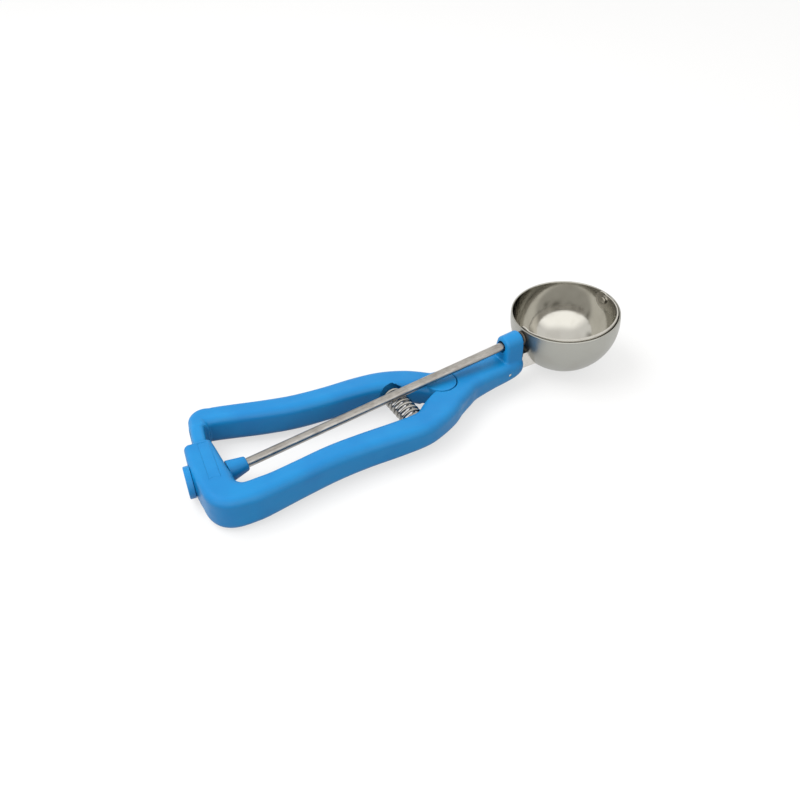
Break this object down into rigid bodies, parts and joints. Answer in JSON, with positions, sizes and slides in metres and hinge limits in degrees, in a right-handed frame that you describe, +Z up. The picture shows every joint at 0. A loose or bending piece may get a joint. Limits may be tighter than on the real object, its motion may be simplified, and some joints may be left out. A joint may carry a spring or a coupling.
{
  "type": "lever ice cream scoop",
  "caption": "Lever ice cream scoop with a steel half-ball bowl, a sweeping scraper and a sprung squeeze handle that turns it through a rack and pinion.",
  "frame": {"origin": "on the table, at the middle of the rest pad under the back sleeve, below the rod's line", "axes": "+X towards the bowl, +Y towards the moving lever arm, +Z up from the table"},
  "size_m": [0.2409, 0.071, 0.0365],
  "materials": {
    "blue_plastic": "satin moulded blue plastic",
    "gear_steel": "cut steel gear teeth, lightly greased",
    "pin_steel": "turned steel pin",
    "spring_steel": "bright drawn spring wire",
    "rod_steel": "ground stainless rod",
    "bowl_steel": "satin outside, polished inside, spun stainless sheet",
    "shank_steel": "folded stainless sheet",
    "scraper_steel": "stamped stainless strip"
  },
  "bodies": {
    "frame": {"handle_frame": "blue_plastic", "sleeve_cover": "blue_plastic", "rear_button": "blue_plastic", "hinge_pin": "pin_steel", "bowl": "bowl_steel", "bowl_shank": "shank_steel", "shank_pin": "pin_steel", "tip_pivot": "pin_steel", "return_spring": "spring_steel"},
    "lever": {"lever_arm": "blue_plastic", "gear_rack": "gear_steel"},
    "rod": {"drive_rod": "rod_steel", "rod_collar": "blue_plastic", "pinion": "gear_steel", "pinion_pin": "gear_steel", "thrust_washer": "pin_steel", "scraper_hub": "scraper_steel", "scraper": "scraper_steel"}
  },
  "joints": [
    {"name": "lever_squeeze", "type": "hinge", "parent": "frame", "child": "lever", "pos_m": [0.12, 0, 0.01], "axis": [0, 0, 1], "range_deg": [0, 5.72], "stiffness_Nm_per_rad": 3, "springref_deg": -5.73, "deforming": ["return_spring"]},
    {"name": "rod_spin", "type": "hinge", "parent": "frame", "child": "rod", "pos_m": [0, 0, 0.01], "axis": [0.9956, 0, 0.094], "range_deg": [0, 172]}
  ],
  "couplings": [
    {"joint": "rod_spin", "follows": "lever_squeeze", "ratio": 30.035}
  ]
}
